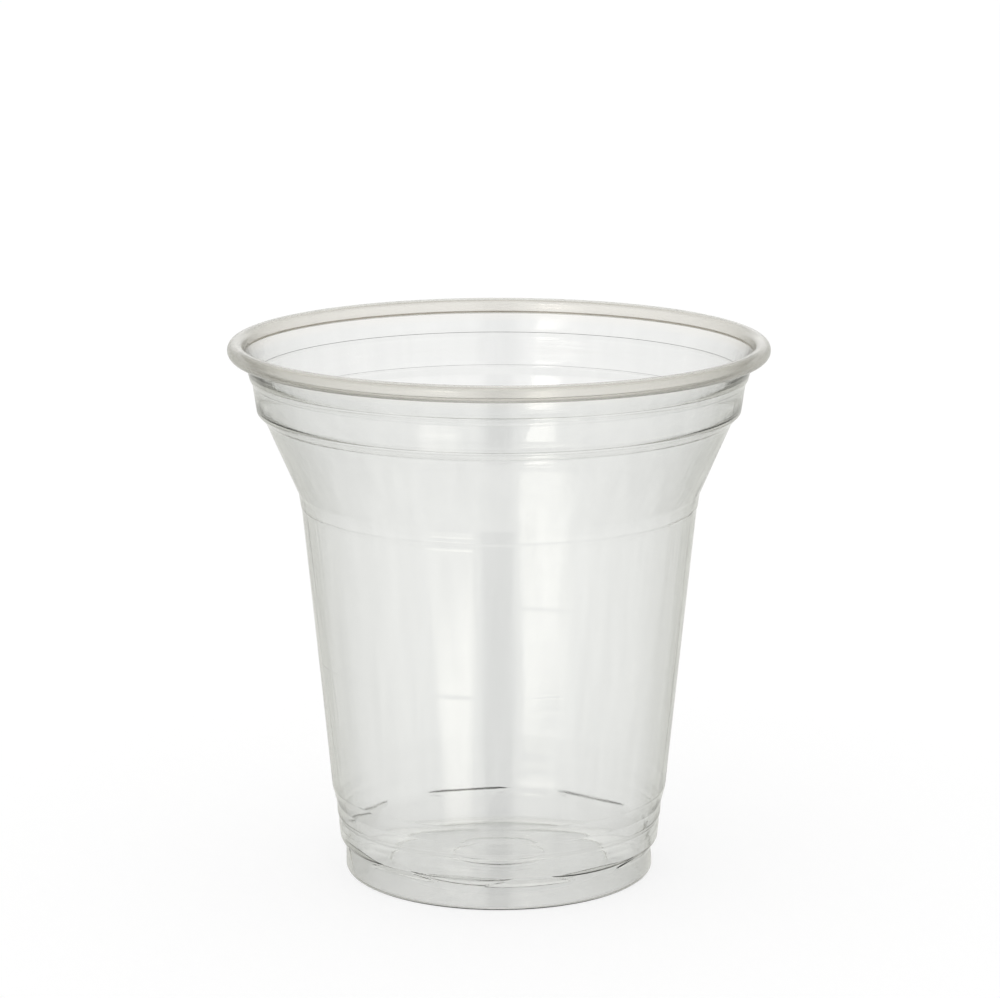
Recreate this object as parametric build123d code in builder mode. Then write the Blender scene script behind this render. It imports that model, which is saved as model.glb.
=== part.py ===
from build123d import *
import os
from math import asin, atan2, cos, degrees, radians, sin, sqrt

# Clear formed drinking cup: one thin skin with a rolled rim, a lid band, a flared shoulder,
# a tapered body and a stepped foot with pressed-in stacking lugs.
# Sizes are in millimetres. The origin is the centre of the foot, on the table, and +Z is up.

# Overall sizes
height = 95.8
rim_diameter = 95.0
foot_diameter = 55.0
wall = 0.35

# Rolled rim
roll_diameter = 2.9
roll_sweep = 296.0

# Neck, lid band and shoulder: insets are from the rim's edge, depths from its top
neck_foot_inset = 3.75
neck_foot_depth = 6.2
band_top_inset = 4.3
band_top_depth = 7.3
band_foot_inset = 5.0
band_foot_depth = 12.2
shoulder_top_inset = 6.45
shoulder_top_depth = 13.75
shoulder_foot_inset = 12.1
shoulder_foot_depth = 26.8
crease_inset = 12.4
crease_depth = 28.7
body_top_inset = 12.6
body_top_depth = 29.4

# Lower body and foot: outsets are from the foot's wall, heights from the table
body_foot_outset = 2.4
body_foot_height = 15.5
waist_outset = 1.62
waist_height = 12.5
upper_step_outset = 1.52
upper_step_height = 10.5
upper_step_back = 0.26
upper_step_rise = 0.9
hip_outset = 1.25
hip_height = 8.3
ledge_outset = 1.0
ledge_height = 6.0
foot_wall_height = 4.6

# Base, inside the ring that the cup stands on
foot_corner_radius = 0.8
ring_width = 1.0
panel_diameter = 37.6
panel_rise = 1.4
panel_step_width = 0.8
panel_step_height = 0.8
boss_diameter = 16.4
boss_rise = 0.4
boss_step_width = 0.5

# Rounding of the hollow at the foot of the shoulder
shoulder_corner = 2.0

# Stacking lugs: flat faces pressed into the foot's wall all round, each under a ledge.
# A face leans inwards from its bottom to its top, and its ledge drops a little towards the outside.
lug_count = 7
lug_angle = -103.8
lug_bottom = 1.3
lug_top = 5.7
lug_depth = 0.5
lug_ledge_drop = 0.2
lug_reach = 4.0

rim_radius = rim_diameter / 2
foot_radius = foot_diameter / 2
roll_radius = roll_diameter / 2
roll_centre = (rim_radius - roll_radius, height - roll_radius)
roll_inner_radius = roll_radius - wall
ring_inner_radius = foot_radius - foot_corner_radius - ring_width


def at_rim(inset, depth):
    """A point of the outer face, placed from the rim."""
    return (rim_radius - inset, height - depth)


def at_foot(outset, rise):
    """A point of the outer face, placed from the foot."""
    return (foot_radius + outset, rise)


# The outer face of the skin, from the middle of the base out to the foot and up to the neck.
# Each row is a corner's radius, its height and how far it is rounded.
panel_radius = panel_diameter / 2
boss_radius = boss_diameter / 2
base_corners = [
    (boss_radius - boss_step_width, panel_rise + boss_rise, 0),
    (boss_radius, panel_rise, 0),
    (panel_radius, panel_rise, 0),
    (panel_radius + panel_step_width, panel_rise - panel_step_height, 0),
    (ring_inner_radius, 0, 0),
    (foot_radius, 0, foot_corner_radius),
]
foot_corners = [
    (*at_foot(0, foot_wall_height), 0),
    (*at_foot(ledge_outset, ledge_height), 0),
    (*at_foot(hip_outset, hip_height), 0),
    (*at_foot(upper_step_outset - upper_step_back, upper_step_height - upper_step_rise), 0),
    (*at_foot(upper_step_outset, upper_step_height), 0),
    (*at_foot(waist_outset, waist_height), 0),
    (*at_foot(body_foot_outset, body_foot_height), 0),
]
upper_corners = [
    (*at_rim(body_top_inset, body_top_depth), 0),
    (*at_rim(crease_inset, crease_depth), 0),
    (*at_rim(shoulder_foot_inset, shoulder_foot_depth), shoulder_corner),
    (*at_rim(shoulder_top_inset, shoulder_top_depth), 0),
    (*at_rim(band_foot_inset, band_foot_depth), 0),
    (*at_rim(band_top_inset, band_top_depth), 0),
    (*at_rim(neck_foot_inset, neck_foot_depth), 0),
]
corners = base_corners + foot_corners + upper_corners
base_centre = (0, panel_rise + boss_rise)

# The neck leaves its foot along a straight line that meets the roll's hollow at a tangent.
neck_foot = Vector(*at_rim(neck_foot_inset, neck_foot_depth))
to_roll = Vector(*roll_centre) - neck_foot
neck_angle = degrees(atan2(to_roll.Y, to_roll.X) + asin(roll_inner_radius / to_roll.length))
neck_run = Vector(cos(radians(neck_angle)), sin(radians(neck_angle)))
neck_top = neck_foot + neck_run * sqrt(to_roll.length**2 - roll_inner_radius**2)
neck_stub = neck_top + neck_run * rim_radius
roll_start = neck_angle + 90

# Section of the cup. The outline is mirrored and set inwards by the wall, which leaves a strip of
# even thickness. The half beyond the axis and the stub above the neck are then cut away.
with BuildSketch(Plane.XZ) as section:
    with BuildLine():
        FilletPolyline(
            base_centre,
            *[(radius, rise) for radius, rise, rounding in corners],
            neck_stub,
            radius=[rounding for radius, rise, rounding in corners],
        )
        Polyline(neck_stub, (0, neck_stub.Y), base_centre)
    make_face()
    mirror(about=Plane.YZ)
    offset(amount=-wall, kind=Kind.INTERSECTION, mode=Mode.SUBTRACT)
    split(bisect_by=Plane.YZ)
    split(bisect_by=Plane(neck_top, z_dir=neck_run), keep=Keep.BOTTOM)
    with BuildLine():
        roll_inside = CenterArc(roll_centre, roll_inner_radius, roll_start, -roll_sweep)
        roll_outside = CenterArc(roll_centre, roll_radius, roll_start, -roll_sweep)
        Line(roll_inside @ 0, roll_outside @ 0)
        Line(roll_inside @ 1, roll_outside @ 1)
    make_face()

# The space that the outer face encloses up to the foot of the body, which keeps the lugs inside
# the wall at whatever height they end
with BuildPart() as foot_form:
    with BuildSketch(Plane.XZ):
        with BuildLine():
            FilletPolyline(
                base_centre,
                *[(radius, rise) for radius, rise, rounding in base_corners + foot_corners],
                radius=[rounding for radius, rise, rounding in base_corners + foot_corners[:-1]],
            )
            Polyline(
                at_foot(body_foot_outset, body_foot_height),
                (0, body_foot_height),
                base_centre,
            )
        make_face()
    revolve(axis=Axis.Z)


def lug_block(growth):
    """One lug on the +X side, as the space pressed in from outside, grown on every side."""
    face_lean = lug_depth / (lug_top - lug_bottom)
    with BuildPart() as block:
        with BuildSketch(Plane.XZ):
            with BuildLine():
                Polyline(
                    at_foot(face_lean * lug_bottom, 0),
                    at_foot(-lug_depth, lug_top),
                    at_foot(lug_reach, lug_top - lug_ledge_drop * (lug_reach + lug_depth)),
                    at_foot(lug_reach, 0),
                    close=True,
                )
            make_face()
            if growth > 0:
                offset(amount=growth, kind=Kind.INTERSECTION)
        extrude(amount=foot_radius / 2, both=True)
    return block.part


with BuildPart() as lug_skin:
    add(lug_block(wall))
    add(foot_form.part, mode=Mode.INTERSECT)

lug_recess = lug_block(0)

with BuildPart() as cup:
    add(section.sketch)
    revolve(axis=Axis.Z)
    with PolarLocations(0, lug_count, start_angle=lug_angle):
        add(lug_skin.part)
        add(lug_recess, mode=Mode.SUBTRACT)

cup.part.label = "cup"

os.makedirs("parts", exist_ok=True)
export_step(cup.part, "parts/cup.step")
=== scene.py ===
from math import asin, atan2, ceil, copysign, cos, hypot, pi, radians, sin, sqrt, tan

import bpy
import numpy as np
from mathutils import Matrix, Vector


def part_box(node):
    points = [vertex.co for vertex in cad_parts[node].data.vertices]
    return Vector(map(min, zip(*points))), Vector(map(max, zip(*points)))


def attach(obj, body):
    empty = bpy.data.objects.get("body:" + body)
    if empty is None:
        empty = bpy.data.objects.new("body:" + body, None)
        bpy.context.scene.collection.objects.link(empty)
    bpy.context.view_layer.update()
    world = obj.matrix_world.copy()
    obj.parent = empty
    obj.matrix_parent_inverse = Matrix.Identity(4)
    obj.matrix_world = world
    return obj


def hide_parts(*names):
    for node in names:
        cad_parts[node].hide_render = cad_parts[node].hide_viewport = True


# A clear formed drinking cup on a white floor. Sizes are in metres, in the frame of the CAD model.
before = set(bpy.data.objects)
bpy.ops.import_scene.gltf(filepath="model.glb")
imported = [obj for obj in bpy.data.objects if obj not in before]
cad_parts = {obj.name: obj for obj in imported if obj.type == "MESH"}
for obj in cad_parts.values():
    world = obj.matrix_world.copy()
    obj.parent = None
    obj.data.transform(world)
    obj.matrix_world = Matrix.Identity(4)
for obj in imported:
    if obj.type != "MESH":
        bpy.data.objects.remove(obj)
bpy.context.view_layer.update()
cup_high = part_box("cup")[1]

# Overall sizes. The height and the rim come from the frame.
height = cup_high.z
rim_radius = cup_high.x
foot_radius = 0.0275
wall = 0.00035

# Rolled rim
roll_radius = 0.00145
roll_sweep = radians(296)
roll_centre = (rim_radius - roll_radius, height - roll_radius)
roll_hollow = roll_radius - wall

# Rounding of the corners that a formed sheet can't have sharp
tight = 0.0004
soft = 0.0012
foot_rounding = 0.0008
boss_rounding = 0.0009
step_rounding = 0.0012
crease_rounding = 0.0011
shoulder_hollow = 0.0026

# How much thicker the sheet is in its deepest bends, and how far that reaches along it
bead_gain = 0.45
bead_reach = 0.00036


def at_rim(inset, depth):
    """A point of the outer face, placed from the rim."""
    return (rim_radius - inset, height - depth)


def at_foot(outset, rise):
    """A point of the outer face, placed from the foot."""
    return (foot_radius + outset, rise)


# Base, inside the ring that the cup stands on
ring_inner_radius = 0.0257
panel_radius = 0.0188
panel_rise = 0.0014
panel_step_width = 0.0008
panel_step_height = 0.0008
boss_radius = 0.0082
boss_step_width = 0.0005
base_rise = 0.0018

# Each corner of the outer face has its rounding and its share of the full thickening. These are the
# base's corners, out to the foot's wall.
base_corners = [
    (boss_radius - boss_step_width, base_rise, boss_rounding, 0),
    (boss_radius, panel_rise, boss_rounding, 0),
    (panel_radius, panel_rise, step_rounding, 0),
    (panel_radius + panel_step_width, panel_rise - panel_step_height, step_rounding, 0),
    (ring_inner_radius, 0.0, soft, 0),
    (*at_foot(0, 0), foot_rounding, 0),
]

# The foot's wall stands upright, flares out and then leans up to the hip, the body's first corner
flare_foot = 0.0046
flare_top = 0.006
flare_outset = 0.001
lean_outset = 0.00125
lean_top = 0.0083
flare_soft = 0.0003

# Places on the body, and above it on the shoulder, the lid band and the neck
hip = at_foot(lean_outset, lean_top)
step_foot = at_foot(0.00126, 0.0096)
step_top = at_foot(0.00152, 0.0105)
waist = at_foot(0.00162, 0.0125)
body_foot = at_foot(0.0024, 0.0155)
body_top = at_rim(0.0126, 0.0294)
crease = at_rim(0.0124, 0.0287)
shoulder_foot = at_rim(0.0121, 0.0268)
shoulder_top = at_rim(0.00645, 0.01375)
band_foot = at_rim(0.005, 0.0122)
band_top = at_rim(0.0043, 0.0073)
neck_foot = at_rim(0.00375, 0.0062)
body_corners = [
    (*hip, tight, 0.3),
    (*step_foot, tight, 0.3),
    (*step_top, tight, 0.3),
    (*waist, tight, 0.2),
    (*body_foot, soft, 0.1),
    (*body_top, crease_rounding, 0),
    (*crease, crease_rounding, 0),
    (*shoulder_foot, shoulder_hollow, 0),
    (*shoulder_top, soft, 0.2),
    (*band_foot, tight, 1),
    (*band_top, tight, 0.3),
    (*neck_foot, tight, 2.2),
]

# Stacking lugs: flat faces pressed into the foot's wall all round, each under a ledge. The edge at
# the ledge is rounder than the edges at the sides, and grows so from a height below it.
lug_count = 7
lug_angle = radians(-103.8)
lug_bottom = 0.0013
lug_top = 0.0057
lug_depth = 0.0005
lug_ledge_drop = 0.2
lug_flank_soft = 0.00007
lug_ledge_soft = 0.0003
lug_corner_soft = 0.00015
lug_soft_from = 0.005

# Ribs round the body: height, half width and how far each stands out, and where the mesh has rows
# across a rib, in half widths
ribs = ((0.0393, 0.00035, 0.00002), (0.06675, 0.0005, 0.000068))
rib_rows = (-1.3, -1, -0.6, -0.25, 0, 0.25, 0.6, 1, 1.3)

# The wavy draw of the sheet round the body: waves of several counts, drawn at random from a seed
wave_seed = 11
wave_counts = range(9, 30)
wave_weakest = 0.4
wave_slope = 0.012
wave_twist = 6
wave_low = 0.012
wave_high = 0.083
wave_fade = 0.02

# Steps of the mesh: sections round the cup, straight runs and bends
lug_sections = 26
sections = lug_sections * lug_count
run_unit = 0.00045
bend_step = radians(9)

# The foot's wall, between two heights, has sections of its own, which are closest up to an angle from
# each lug's middle. A zone is its two angles and how many sections it has.
foot_start = 0.0008
foot_end = 0.0072
lug_half_turn = 0.34
lug_zones = ((0.0, lug_half_turn, 18), (lug_half_turn, pi / lug_count, 3))

# Its rows lie on rays from a point outside it, with more or fewer of them between set angles. Each ray
# is followed so far, and its reach is halved so often to find the wall. Slopes go over a small step.
foot_eye = at_foot(0.0015, 0.0035)
foot_turns = (radians(140), radians(108))
foot_rays = (15, 28, 6)
ray_reach = 0.006
ray_halvings = 45
probe = 2e-7


def neck():
    """Where the neck ends: it meets the hollow of the roll at a tangent."""
    across, up = roll_centre[0] - neck_foot[0], roll_centre[1] - neck_foot[1]
    reach = hypot(across, up)
    heading = atan2(up, across) + asin(roll_hollow / reach)
    run = sqrt(reach**2 - roll_hollow**2)
    return (neck_foot[0] + run * cos(heading), neck_foot[1] + run * sin(heading))


def add_run(path, end, heading):
    """Adds a straight run to the path, with closer steps near its ends and at ribs."""
    radius, rise, _ = path[-1]
    steps = max(1, round(sqrt(hypot(end[0] - radius, end[1] - rise) / run_unit)))
    shares = [(1 - cos(pi * step / steps)) / 2 for step in range(1, steps + 1)]
    climb = end[1] - rise
    for level, half, _ in ribs:
        if rise < level < end[1]:
            shares += [(level + half * part - rise) / climb for part in rib_rows]
    for share in sorted(share for share in shares if 0 < share <= 1):
        path.append((radius + (end[0] - radius) * share, rise + climb * share, heading))


def add_bend(path, turn, rounding):
    """Adds an arc to the path, to the left where the turn is positive."""
    radius, rise, heading = path[-1]
    side = copysign(rounding, turn)
    centre = (radius - side * sin(heading), rise + side * cos(heading))
    steps = max(2, ceil(abs(turn) / bend_step))
    for step in range(1, steps + 1):
        angle = heading + turn * step / steps
        path.append((centre[0] + side * sin(angle), centre[1] - side * cos(angle), angle))


def outline(start, corners, end):
    """A path with rounded corners and the bends in it. Its rows are radius, height and heading."""
    first = atan2(corners[0][1] - start[1], corners[0][0] - start[0])
    path, bends = [(*start, first)], []
    for here, after in zip(corners, corners[1:] + [end]):
        heading = path[-1][2]
        turn = atan2(after[1] - here[1], after[0] - here[0]) - heading
        cut = here[2] * tan(abs(turn) / 2)
        add_run(path, (here[0] - cut * cos(heading), here[1] - cut * sin(heading)), heading)
        bends.append((here[0], here[1], here[3]))
        add_bend(path, turn, here[2])
    return path, bends


def smooth_step(x):
    """0 below 0, 1 above 1, and smooth between."""
    x = np.clip(x, 0, 1)
    return x * x * (3 - 2 * x)


def soft_most(a, b, blend):
    """The greater of two values, rounded where they cross."""
    share = np.clip(0.5 + 0.5 * (a - b) / blend, 0, 1)
    return b + (a - b) * share + blend * share * (1 - share)


def soft_rise(x, edge):
    """0 below 0 and x above it, rounded over an edge on both sides."""
    return np.where(x > edge, x, np.clip(x + edge, 0, None) ** 2 / (4 * edge))


def unit(vectors):
    """Vectors of the same directions, each with a length of 1."""
    return vectors / np.linalg.norm(vectors, axis=-1, keepdims=True)


def place(out, along, up, angles):
    """Vectors from their parts outwards, round the cup and up."""
    across = out * np.cos(angles) - along * np.sin(angles)
    return np.stack(
        np.broadcast_arrays(across, out * np.sin(angles) + along * np.cos(angles), up), axis=-1
    )


def rib_lift(rise):
    """How far the ribs stand out of the body."""
    return sum(stand * smooth_step(1 - abs(rise - level) / half) for level, half, stand in ribs)


def wave_lift(rise, angles):
    """The waviness that drawing leaves round the body, by height and place."""
    draw = np.random.RandomState(wave_seed)
    sway = 0
    for count in wave_counts:
        strength = draw.uniform(wave_weakest, 1)
        phase = draw.uniform(0, 2 * pi)
        twist = wave_twist * draw.uniform(-1, 1)
        sway = sway + strength / count * np.cos(count * angles + phase + twist * rise / height)
    fade = smooth_step((rise - wave_low) / wave_fade) * smooth_step((wave_high - rise) / wave_fade)
    return wave_slope * foot_radius * sway * fade


def thickness(path, bends):
    """The sheet's thickness at each row: a little more in its bends."""
    gain = np.zeros(len(path))
    for radius, rise, share in bends:
        away = np.hypot(path[:, 0] - radius, path[:, 1] - rise)
        gain = np.maximum(gain, bead_gain * share * smooth_step(1 - away / bead_reach))
    return wall * (1 + gain)


def turned_rows(path, bends, angles):
    """Points and normals of both faces where the sheet is turned round the axis."""
    path = np.array(path)
    sheet = thickness(path, bends)
    radius, rise, heading = (column[:, None] for column in path.T)
    far = np.concatenate([[0], np.cumsum(np.hypot(np.diff(path[:, 0]), np.diff(path[:, 1])))])
    lift = rib_lift(rise) + wave_lift(rise, angles)
    slope = np.gradient(lift, far, axis=0)
    wrapped = np.concatenate([lift[:, -1:], lift, lift[:, :1]], axis=1)
    turned = np.concatenate([angles[-1:] - 2 * pi, angles, angles[:1] + 2 * pi])
    swing = np.gradient(wrapped, turned, axis=1)[:, 1:-1]
    reach = radius + lift
    facing = unit(
        place(reach * np.sin(heading), -swing * np.sin(heading), -reach * (np.cos(heading) + slope), angles)
    )
    outer = place(reach, 0, rise, angles)
    taper = np.gradient(sheet, far)[:, None, None]
    run = place(np.cos(heading), 0, np.sin(heading), angles)
    return outer, outer - facing * sheet[:, None, None], facing, -unit(facing + run * taper)


def outside(out, up, turn):
    """Above 0 outside the foot's wall and in the space that a lug takes from it."""
    flare = flare_outset / (flare_top - flare_foot)
    lean = (lean_outset - flare_outset) / (lean_top - flare_top)
    plain = foot_radius + flare * soft_rise(up - flare_foot, flare_soft)
    plain = plain - (flare - lean) * soft_rise(up - flare_top, flare_soft)
    pitch = 2 * pi / lug_count
    across = out * np.cos((turn - lug_angle + pitch / 2) % pitch - pitch / 2) - foot_radius
    face = across + lug_depth * (up - lug_bottom) / (lug_top - lug_bottom)
    ledge = lug_top - lug_ledge_drop * (across + lug_depth) - up
    pressed = -soft_most(-face, -ledge, lug_corner_soft)
    share = smooth_step((up - lug_soft_from) / (lug_top - lug_soft_from))
    return soft_most(out - plain, pressed, lug_flank_soft + (lug_ledge_soft - lug_flank_soft) * share)


def foot_rows(start, end, angles):
    """Points and normals of both faces in the foot's wall, with its lugs."""
    first = atan2(start[1] - foot_eye[1], start[0] - foot_eye[0]) % (2 * pi)
    last = atan2(end[1] - foot_eye[1], end[0] - foot_eye[0])
    stops = (first, *foot_turns, last)
    turns = [np.linspace(a, b, count + 1)[1:] for a, b, count in zip(stops, stops[1:], foot_rays)]
    turns = np.concatenate(turns)[:-1, None]
    low = np.zeros((len(turns), len(angles)))
    high = np.full((len(turns), len(angles)), ray_reach)
    for _ in range(ray_halvings):
        far = (low + high) / 2
        out, up = foot_eye[0] + far * np.cos(turns), foot_eye[1] + far * np.sin(turns)
        beyond = outside(out, up, angles) > 0
        low, high = np.where(beyond, far, low), np.where(beyond, high, far)
    facing = unit(
        place(
            outside(out + probe, up, angles) - outside(out - probe, up, angles),
            outside(out, up, angles + probe / out) - outside(out, up, angles - probe / out),
            outside(out, up + probe, angles) - outside(out, up - probe, angles),
            angles,
        )
    )
    outer = place(out, 0, up, angles)
    return outer, outer - facing * wall, facing, -facing


def strip(low, low_angles, high, high_angles):
    """Faces between two rings of points, with four corners where the rings have equal sections."""
    if len(low) == len(high):
        return [(low[k - 1], low[k], high[k], high[k - 1]) for k in range(len(low))]
    low, high = low + low[:1], high + high[:1]
    low_angles, high_angles = (np.append(a, a[0] + 2 * pi) for a in (low_angles, high_angles))
    faces, i, j = [], 0, 0
    while i + 1 < len(low) or j + 1 < len(high):
        if j + 1 == len(high) or (i + 1 < len(low) and low_angles[i + 1] <= high_angles[j + 1]):
            faces.append((low[i], low[i + 1], high[j]))
            i += 1
        else:
            faces.append((low[i], high[j + 1], high[j]))
            j += 1
    return faces


def end_facing(points, faces):
    """Normals of flat faces, once for each of their four corners."""
    a, b, c, d = (points[[face[k] for face in faces]] for k in range(4))
    return np.repeat(unit(np.cross(c - a, d - b)), 4, axis=0)


def cup_mesh():
    """The cup as one closed mesh: an outer face, an inner face and the edge of the roll."""
    even = lug_angle + np.arange(sections) * 2 * pi / sections
    half = np.concatenate([np.linspace(a, b, count + 1)[1:] for a, b, count in lug_zones])
    pitch = np.concatenate([-half[:-1], [0.0], half])
    close = (np.arange(lug_count)[:, None] * 2 * pi / lug_count + pitch).ravel() % (2 * pi)
    close = lug_angle + np.sort(close)
    lean = (lean_outset - flare_outset) * (foot_end - flare_top) / (lean_top - flare_top)
    seam = at_foot(flare_outset + lean, foot_end)
    base, base_bends = outline((0.0, base_rise), base_corners, at_foot(0, flare_foot))
    body, body_bends = outline(seam, body_corners, neck())
    add_run(body, neck(), body[-1][2])
    add_bend(body, -roll_sweep, roll_hollow)
    blocks = [
        (turned_rows(base[1:], base_bends, even), even),
        (foot_rows(at_foot(0, foot_start), seam, close), close),
        (turned_rows(body, body_bends, even), even),
    ]
    points, normals, faces, ends = [], [], [], []
    total = 0
    for side in (0, 1):
        rings = []
        for parts, angles in blocks:
            for _ in range(len(parts[side])):
                rings.append((list(range(total, total + len(angles))), angles))
                total += len(angles)
            points.append(parts[side].reshape(-1, 3))
            normals.append(parts[side + 2].reshape(-1, 3))
        points.append([(0, 0, base_rise + side * wall)])
        normals.append([(0, 0, 2 * side - 1)])
        middle = rings[0][0]
        found = [(total, middle[k], middle[k - 1]) for k in range(len(middle))]
        total += 1
        for (low, low_angles), (high, high_angles) in zip(rings, rings[1:]):
            found += strip(low, low_angles, high, high_angles)
        faces += [face[::-1] for face in found] if side else found
        ends.append(rings[-1][0])
    cut = strip(ends[0], even, ends[1], even)
    faces += cut
    mesh = bpy.data.meshes.new("cup_skin")
    mesh.from_pydata(np.concatenate(points).tolist(), [], faces)
    mesh.polygons.foreach_set("use_smooth", [True] * len(mesh.polygons))
    mesh.polygons.foreach_set("material_index", [0] * (len(faces) - len(cut)) + [1] * len(cut))
    corners = np.array([point for face in faces for point in face])
    facing = np.concatenate(normals)[corners]
    facing[-4 * len(cut) :] = end_facing(np.concatenate(points), cut)
    mesh.normals_split_custom_set(facing.tolist())
    triangles = sum(len(face) - 2 for face in faces)
    print("cup rows", [len(parts[0]) for parts, _ in blocks], "triangles", triangles)
    return mesh


def link(tree, kind, operation=None, **inputs):
    """A new node with values or links for its inputs, which go by name, or by number as _0 and _1."""
    made = tree.nodes.new(kind)
    if operation:
        made.operation = operation
    for name, value in inputs.items():
        socket = made.inputs[int(name[1:]) if name[0] == "_" else name.replace("_", " ")]
        if isinstance(value, bpy.types.NodeSocket):
            tree.links.new(value, socket)
        else:
            socket.default_value = value
    return made


def calc(tree, operation, first, second=0.0):
    """The result of one sum."""
    return link(tree, "ShaderNodeMath", operation, _0=first, _1=second).outputs[0]


def scaled(tree, value, start, end, first=0.0, last=1.0):
    """The first result up to a value's start, the last one from its end on, and even steps between."""
    made = link(
        tree,
        "ShaderNodeMapRange",
        Value=value,
        From_Min=start,
        From_Max=end,
        To_Min=first,
        To_Max=last,
    )
    return made.outputs[0]


def window(tree, value, low, high, low_edge, high_edge):
    """1 where a value lies between low and high, 0 outside, and smooth over the edges."""
    low_side = link(
        tree, "ShaderNodeMapRange", Value=value, From_Min=low - low_edge, From_Max=low + low_edge
    )
    high_side = link(
        tree, "ShaderNodeMapRange", Value=value, From_Min=high + high_edge, From_Max=high - high_edge
    )
    for side in (low_side, high_side):
        side.interpolation_type = "SMOOTHSTEP"
    return calc(tree, "MULTIPLY", low_side.outputs[0], high_side.outputs[0])


def ramp(tree, value, low, high, stops):
    """Colours by value, from a list of values and colours."""
    made = link(tree, "ShaderNodeValToRGB", Fac=scaled(tree, value, low, high))
    elements = made.color_ramp.elements
    while len(elements) < len(stops):
        elements.new(0.5)
    for element, (at, colour) in zip(elements, stops):
        element.position = (at - low) / (high - low)
        element.color = (*colour, 1)
    return made.outputs[0]


def mixed(tree, share, first, second, blend="MIX"):
    """Two colours mixed by a share. The node's colours are its inputs 6 and 7 and its output 2."""
    made = tree.nodes.new("ShaderNodeMix")
    made.data_type = "RGBA"
    made.blend_type = blend
    for socket, value in ((made.inputs[0], share), (made.inputs[6], first), (made.inputs[7], second)):
        if isinstance(value, bpy.types.NodeSocket):
            tree.links.new(value, socket)
        else:
            socket.default_value = value
    return made.outputs[2]


# Clear plastic: its index of refraction, and what the sheet takes from light on the way through
plastic_index = 1.48
depth_colour = (0.94, 0.939, 0.92, 1)
depth_density = 250

# Its draw marks are noise drawn out along the height, as streaks and low bumps. Its haze is noise too.
draw_scale = 320
draw_stretch = 0.05
draw_depth = 0.00006
haze_scale = 90
haze_roughness = (0.02, 0.07)

# Its tints: the lightest, the deepest, which is in streaks near the rim, and that of the roll, where the
# sheet is gathered. The foot's low outer wall gets a darker tint that is painted shade, for the dim floor
# under the cup seen through it. Each pair of heights or radii is where a tint starts and where it is full.
light_tint = (0.924, 0.928, 0.918)
deep_tint = (0.872, 0.877, 0.868)
deep_heights = (0.066, 0.09)
roll_tint = (0.925, 0.915, 0.888)
roll_heights = (0.0915, 0.093)
foot_shade_tint = (0.875, 0.878, 0.868)
foot_shade_heights = (0.0062, 0.0044)
foot_shade_radii = (0.0255, 0.0265)

# How much rougher the sheet is in the roll, where it is worked most
worked_roughness = 0.1

# The cut edge's frosting, with a painted glow in its tints: warm colour over the frosted tone, for the
# light that the sheet guides out at its edge
grain_scale = 700
grain_depth = 0.00003
grain_roughness = (0.4, 0.7)
frost_and_glow_tints = [(0.3, (0.80, 0.74, 0.64)), (0.7, (0.88, 0.84, 0.76))]


def clear_plastic():
    """Thin clear plastic: glossy, with the draw marks of a formed sheet, deeper near the rim, and with
    painted shade low on the foot's wall.
    """
    material = bpy.data.materials.new("clear_plastic")
    material.use_nodes = True
    tree = material.node_tree
    shader = tree.nodes["Principled BSDF"]
    shader.inputs["Transmission Weight"].default_value = 1
    shader.inputs["IOR"].default_value = plastic_index
    at = tree.nodes.new("ShaderNodeTexCoord").outputs["Object"]
    stretched = link(tree, "ShaderNodeMapping", Vector=at, Scale=(1, 1, draw_stretch)).outputs[0]
    drawn = link(tree, "ShaderNodeTexNoise", Vector=stretched, Scale=draw_scale, Detail=4).outputs[0]
    haze = link(tree, "ShaderNodeTexNoise", Vector=at, Scale=haze_scale, Detail=3).outputs[0]
    rise = link(tree, "ShaderNodeSeparateXYZ", Vector=at).outputs["Z"]
    near_rim = scaled(tree, rise, *deep_heights, last=0.5)
    streak = scaled(tree, drawn, 0.35, 0.65, last=0.5)
    depth_share = calc(tree, "ADD", near_rim, streak)
    tint = ramp(tree, depth_share, 0, 1, [(0, light_tint), (1, deep_tint)])
    worked = scaled(tree, rise, *roll_heights)
    tint = mixed(tree, worked, tint, (*roll_tint, 1))
    flat = link(tree, "ShaderNodeMapping", Vector=at, Scale=(1, 1, 0)).outputs[0]
    out = link(tree, "ShaderNodeVectorMath", "LENGTH", _0=flat).outputs["Value"]
    # Painted shade: the foot's low outer wall is tinted darker, as if the dim floor under the cup showed
    # through it.
    low = scaled(tree, rise, *foot_shade_heights)
    outer = scaled(tree, out, *foot_shade_radii)
    tint = mixed(tree, calc(tree, "MULTIPLY", low, outer), tint, (*foot_shade_tint, 1))
    rough = scaled(tree, haze, 0.3, 0.7, *haze_roughness)
    rough = calc(tree, "ADD", rough, calc(tree, "MULTIPLY", worked, worked_roughness))
    bump = link(tree, "ShaderNodeBump", Strength=0.5, Distance=draw_depth, Height=drawn)
    tree.links.new(tint, shader.inputs["Base Color"])
    tree.links.new(rough, shader.inputs["Roughness"])
    tree.links.new(bump.outputs[0], shader.inputs["Normal"])
    depth = link(tree, "ShaderNodeVolumeAbsorption", Color=depth_colour, Density=depth_density)
    tree.links.new(depth.outputs[0], tree.nodes["Material Output"].inputs["Volume"])
    return material


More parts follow.
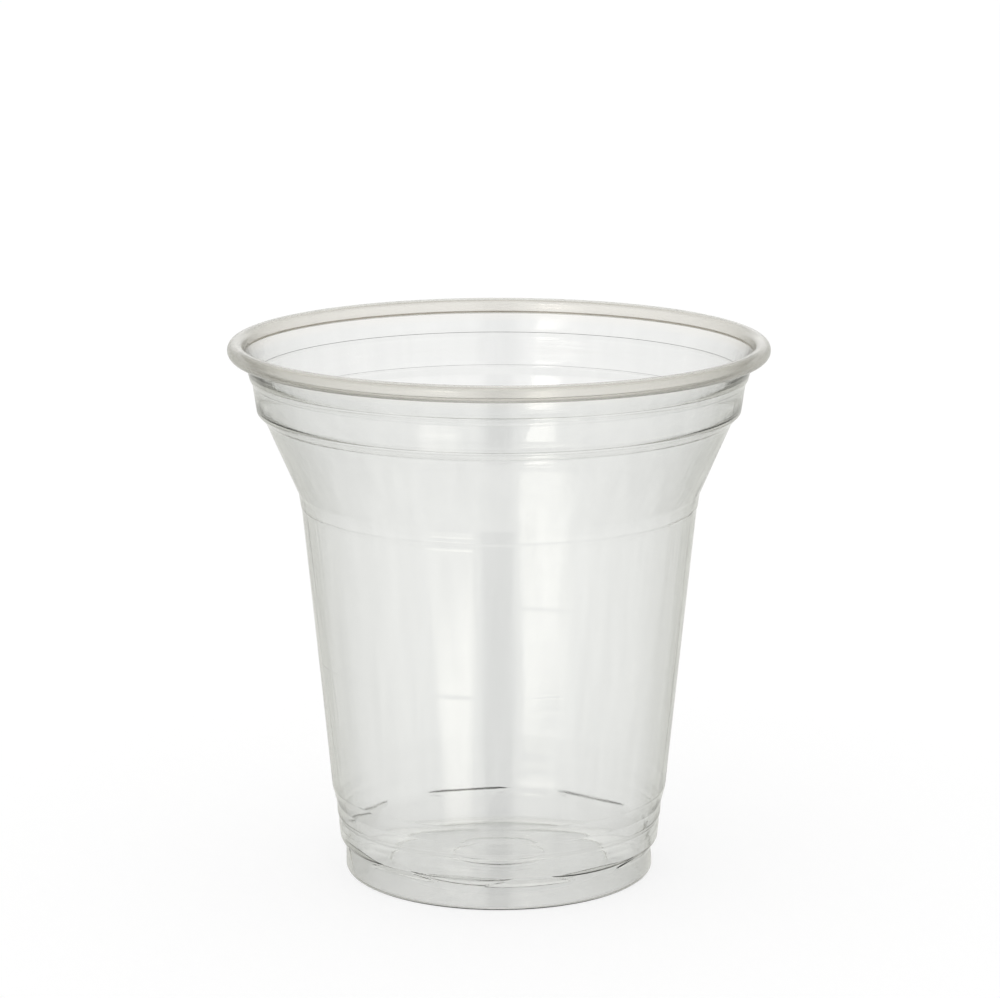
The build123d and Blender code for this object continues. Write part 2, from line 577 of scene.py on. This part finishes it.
def cut_edge():
    """The sheet's cut edge in the roll, which is frosted, with a painted glow in its colour for the light
    that the sheet guides.
    """
    material = bpy.data.materials.new("cut_edge")
    material.use_nodes = True
    tree = material.node_tree
    shader = tree.nodes["Principled BSDF"]
    at = tree.nodes.new("ShaderNodeTexCoord").outputs["Object"]
    grain = link(tree, "ShaderNodeTexNoise", Vector=at, Scale=grain_scale, Detail=3).outputs[0]
    # Painted glow: the warm tints stand in for light that the sheet guides out at the edge, varied by the
    # grain.
    tint = ramp(tree, grain, 0.3, 0.7, frost_and_glow_tints)
    rough = scaled(tree, grain, 0, 1, *grain_roughness)
    bump = link(tree, "ShaderNodeBump", Strength=0.4, Distance=grain_depth, Height=grain)
    tree.links.new(tint, shader.inputs["Base Color"])
    tree.links.new(rough, shader.inputs["Roughness"])
    tree.links.new(bump.outputs[0], shader.inputs["Normal"])
    return material


cup = bpy.data.objects.new("cup_skin", cup_mesh())
bpy.context.scene.collection.objects.link(cup)
cup.data.materials.append(clear_plastic())
cup.data.materials.append(cut_edge())
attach(cup, "root")
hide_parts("cup")

# Light levels: the even light of the room, and the soft lamp that casts the shadow, with its tilt from
# straight down and its turn
room_level = 0.97
lamp_level = 0.12
lamp_spread = radians(45)
lamp_tilt = radians(32)
lamp_turn = radians(-35)

# The floor lies just under the cup. It is white by its paint and its glow together.
floor_size = 12
floor_gap = 0.00003
floor_paint = 0.25
floor_glow = 0.762


def ray_kinds(tree):
    """The camera's own rays, those through the cup and those it mirrors, unless a matt face spread them."""
    path = tree.nodes.new("ShaderNodeLightPath")
    fallen = calc(tree, "GREATER_THAN", path.outputs["Diffuse Depth"], 0.5)
    direct = calc(tree, "SUBTRACT", 1.0, fallen)
    mirrored = calc(tree, "GREATER_THAN", path.outputs["Glossy Depth"], 0.5)
    mirrored = calc(tree, "MULTIPLY", mirrored, direct)
    through = calc(tree, "MULTIPLY", path.outputs["Is Transmission Ray"], direct)
    return path.outputs["Is Camera Ray"], through, mirrored


def floor_material():
    """White, and a little darker where the cup takes light from it. Mirrored rays pass it."""
    material = bpy.data.materials.new("white_floor")
    material.use_nodes = True
    tree = material.node_tree
    tree.nodes.clear()
    camera_ray, through, mirrored = ray_kinds(tree)
    seen = calc(tree, "MAXIMUM", camera_ray, through)
    paint = link(tree, "ShaderNodeBsdfDiffuse", Color=(floor_paint, floor_paint, floor_paint, 1))
    glow = link(tree, "ShaderNodeEmission", Strength=calc(tree, "MULTIPLY", seen, floor_glow))
    both = link(tree, "ShaderNodeAddShader", _0=paint.outputs[0], _1=glow.outputs[0])
    clear = tree.nodes.new("ShaderNodeBsdfTransparent")
    mix = link(tree, "ShaderNodeMixShader", _0=mirrored, _1=both.outputs[0], _2=clear.outputs[0])
    out = tree.nodes.new("ShaderNodeOutputMaterial")
    tree.links.new(mix.outputs[0], out.inputs["Surface"])
    return material


bpy.ops.mesh.primitive_plane_add(size=floor_size, location=(0, 0, -floor_gap))
floor = bpy.context.object
floor.name = "floor"
floor.data.materials.append(floor_material())

# What the cup mirrors. Its colour goes by the turn from the cup's front, in degrees to either side,
# times another that goes by the height above the horizon, in degrees.
room_round = [
    (0, (0.98, 0.98, 0.98)),
    (55, (0.98, 0.98, 0.97)),
    (90, (0.66, 0.66, 0.64)),
    (107, (0.56, 0.56, 0.54)),
    (126, (0.42, 0.42, 0.38)),
    (156, (0.66, 0.66, 0.62)),
    (180, (0.9, 0.9, 0.88)),
]
room_up = [
    (-90, (0.9, 0.9, 0.9)),
    (-50, (0.9, 0.9, 0.9)),
    (-30, (0.78, 0.78, 0.78)),
    (-26, (0.84, 0.84, 0.84)),
    (-22, (1.0, 1.0, 1.0)),
    (2, (1.0, 1.0, 1.0)),
    (7, (0.75, 0.75, 0.75)),
    (20, (0.75, 0.75, 0.75)),
    (36, (1.2, 1.2, 1.2)),
    (55, (0.6, 0.6, 0.6)),
    (90, (0.4, 0.4, 0.4)),
]
# What is seen through the cup, by height: the white backdrop, and above it the dimmer room
room_through = [
    (-90, (1, 1, 1)),
    (0, (1, 1, 1)),
    (14, (0.74, 0.74, 0.7)),
    (90, (0.62, 0.62, 0.58)),
]
# Panels in the studio that only mirrored rays see: the turn from the cup's front, the height, the
# soft edges of both, all in degrees, and the colour. The last one is behind the cup, is seen in the
# base, and counts its turn to either side.
panels = [
    ((-9, 9), (-46, 60), (4, 4), (12, 8), (0.07, 0.08, 0.11)),
    ((-38, -19), (-29, -24.4), (6, 5), (4, 1.4), (2.6, 2.55, 2.4)),
    ((-42, -16), (-5, 2), (12, 3), (1.5, 4), (3.3, 3.25, 3.1)),
    ((-38, -17), (2, 27), (8, 3), (4, 5), (1.6, 1.58, 1.5)),
    ((-33, -20), (27, 46), (5, 2), (5, 6), (4.2, 4.1, 3.9)),
    ((160, 200), (6, 15), (14, 4), (4, 3), (1.2, 1.2, 1.18)),
]


def studio_world():
    """White to the camera, the room through the cup, a studio in mirror images, even light elsewhere."""
    world = bpy.data.worlds.new("studio")
    bpy.context.scene.world = world
    world.use_nodes = True
    tree = world.node_tree
    tree.nodes.clear()
    camera_ray, through, mirrored = ray_kinds(tree)
    way = tree.nodes.new("ShaderNodeTexCoord").outputs["Generated"]
    parts = link(tree, "ShaderNodeSeparateXYZ", Vector=way)
    front = calc(tree, "MULTIPLY", parts.outputs["Y"], -1.0)
    turn = calc(tree, "MULTIPLY", calc(tree, "ARCTAN2", parts.outputs["X"], front), 180 / pi)
    up = calc(tree, "MULTIPLY", calc(tree, "ARCSINE", parts.outputs["Z"]), 180 / pi)
    side = calc(tree, "ABSOLUTE", turn)
    mirror = mixed(
        tree, 1.0, ramp(tree, side, 0, 180, room_round), ramp(tree, up, -90, 90, room_up), "MULTIPLY"
    )
    for (left, right), (low, high), round_edge, up_edge, colour in panels:
        share = window(tree, side if left > 90 else turn, left, right, *round_edge)
        share = calc(tree, "MULTIPLY", share, window(tree, up, low, high, *up_edge))
        mirror = mixed(tree, share, mirror, (*colour, 1))
    beyond = ramp(tree, up, -90, 90, room_through)
    colour = mixed(tree, through, (room_level, room_level, room_level, 1), beyond)
    colour = mixed(tree, camera_ray, colour, (1, 1, 1, 1))
    colour = mixed(tree, mirrored, colour, mirror)
    back = link(tree, "ShaderNodeBackground", Color=colour, Strength=1)
    out = tree.nodes.new("ShaderNodeOutputWorld")
    tree.links.new(back.outputs[0], out.inputs["Surface"])


studio_world()

lamp_data = bpy.data.lights.new("soft_lamp", "SUN")
lamp_data.energy = lamp_level
lamp_data.angle = lamp_spread
lamp = bpy.data.objects.new("soft_lamp", lamp_data)
bpy.context.scene.collection.objects.link(lamp)
lamp.rotation_euler = (lamp_tilt, 0, lamp_turn)
lamp.visible_camera = False
lamp.visible_glossy = False
lamp.visible_transmission = False

# Light is followed far enough to come back out of the roll and the corners
bpy.context.scene.cycles.max_bounces = 24
bpy.context.scene.cycles.glossy_bounces = 16
bpy.context.scene.cycles.transmission_bounces = 24

# Camera, placed so that the cup's outline falls where it does in the photograph
millimetres_per_metre = 1000
focal_length = 0.130256
camera_back = 0.62497
camera_rise = 0.20083
camera_pitch = radians(12.076)
camera_side = 0.00018
camera_data = bpy.data.cameras.new("camera")
camera_data.lens = focal_length * millimetres_per_metre
camera = bpy.data.objects.new("camera", camera_data)
bpy.context.scene.collection.objects.link(camera)
camera.location = (camera_side, -camera_back, camera_rise)
camera.rotation_euler = (pi / 2 - camera_pitch, 0, 0)
bpy.context.scene.camera = camera
bpy.context.scene.view_settings.view_transform = "Standard"
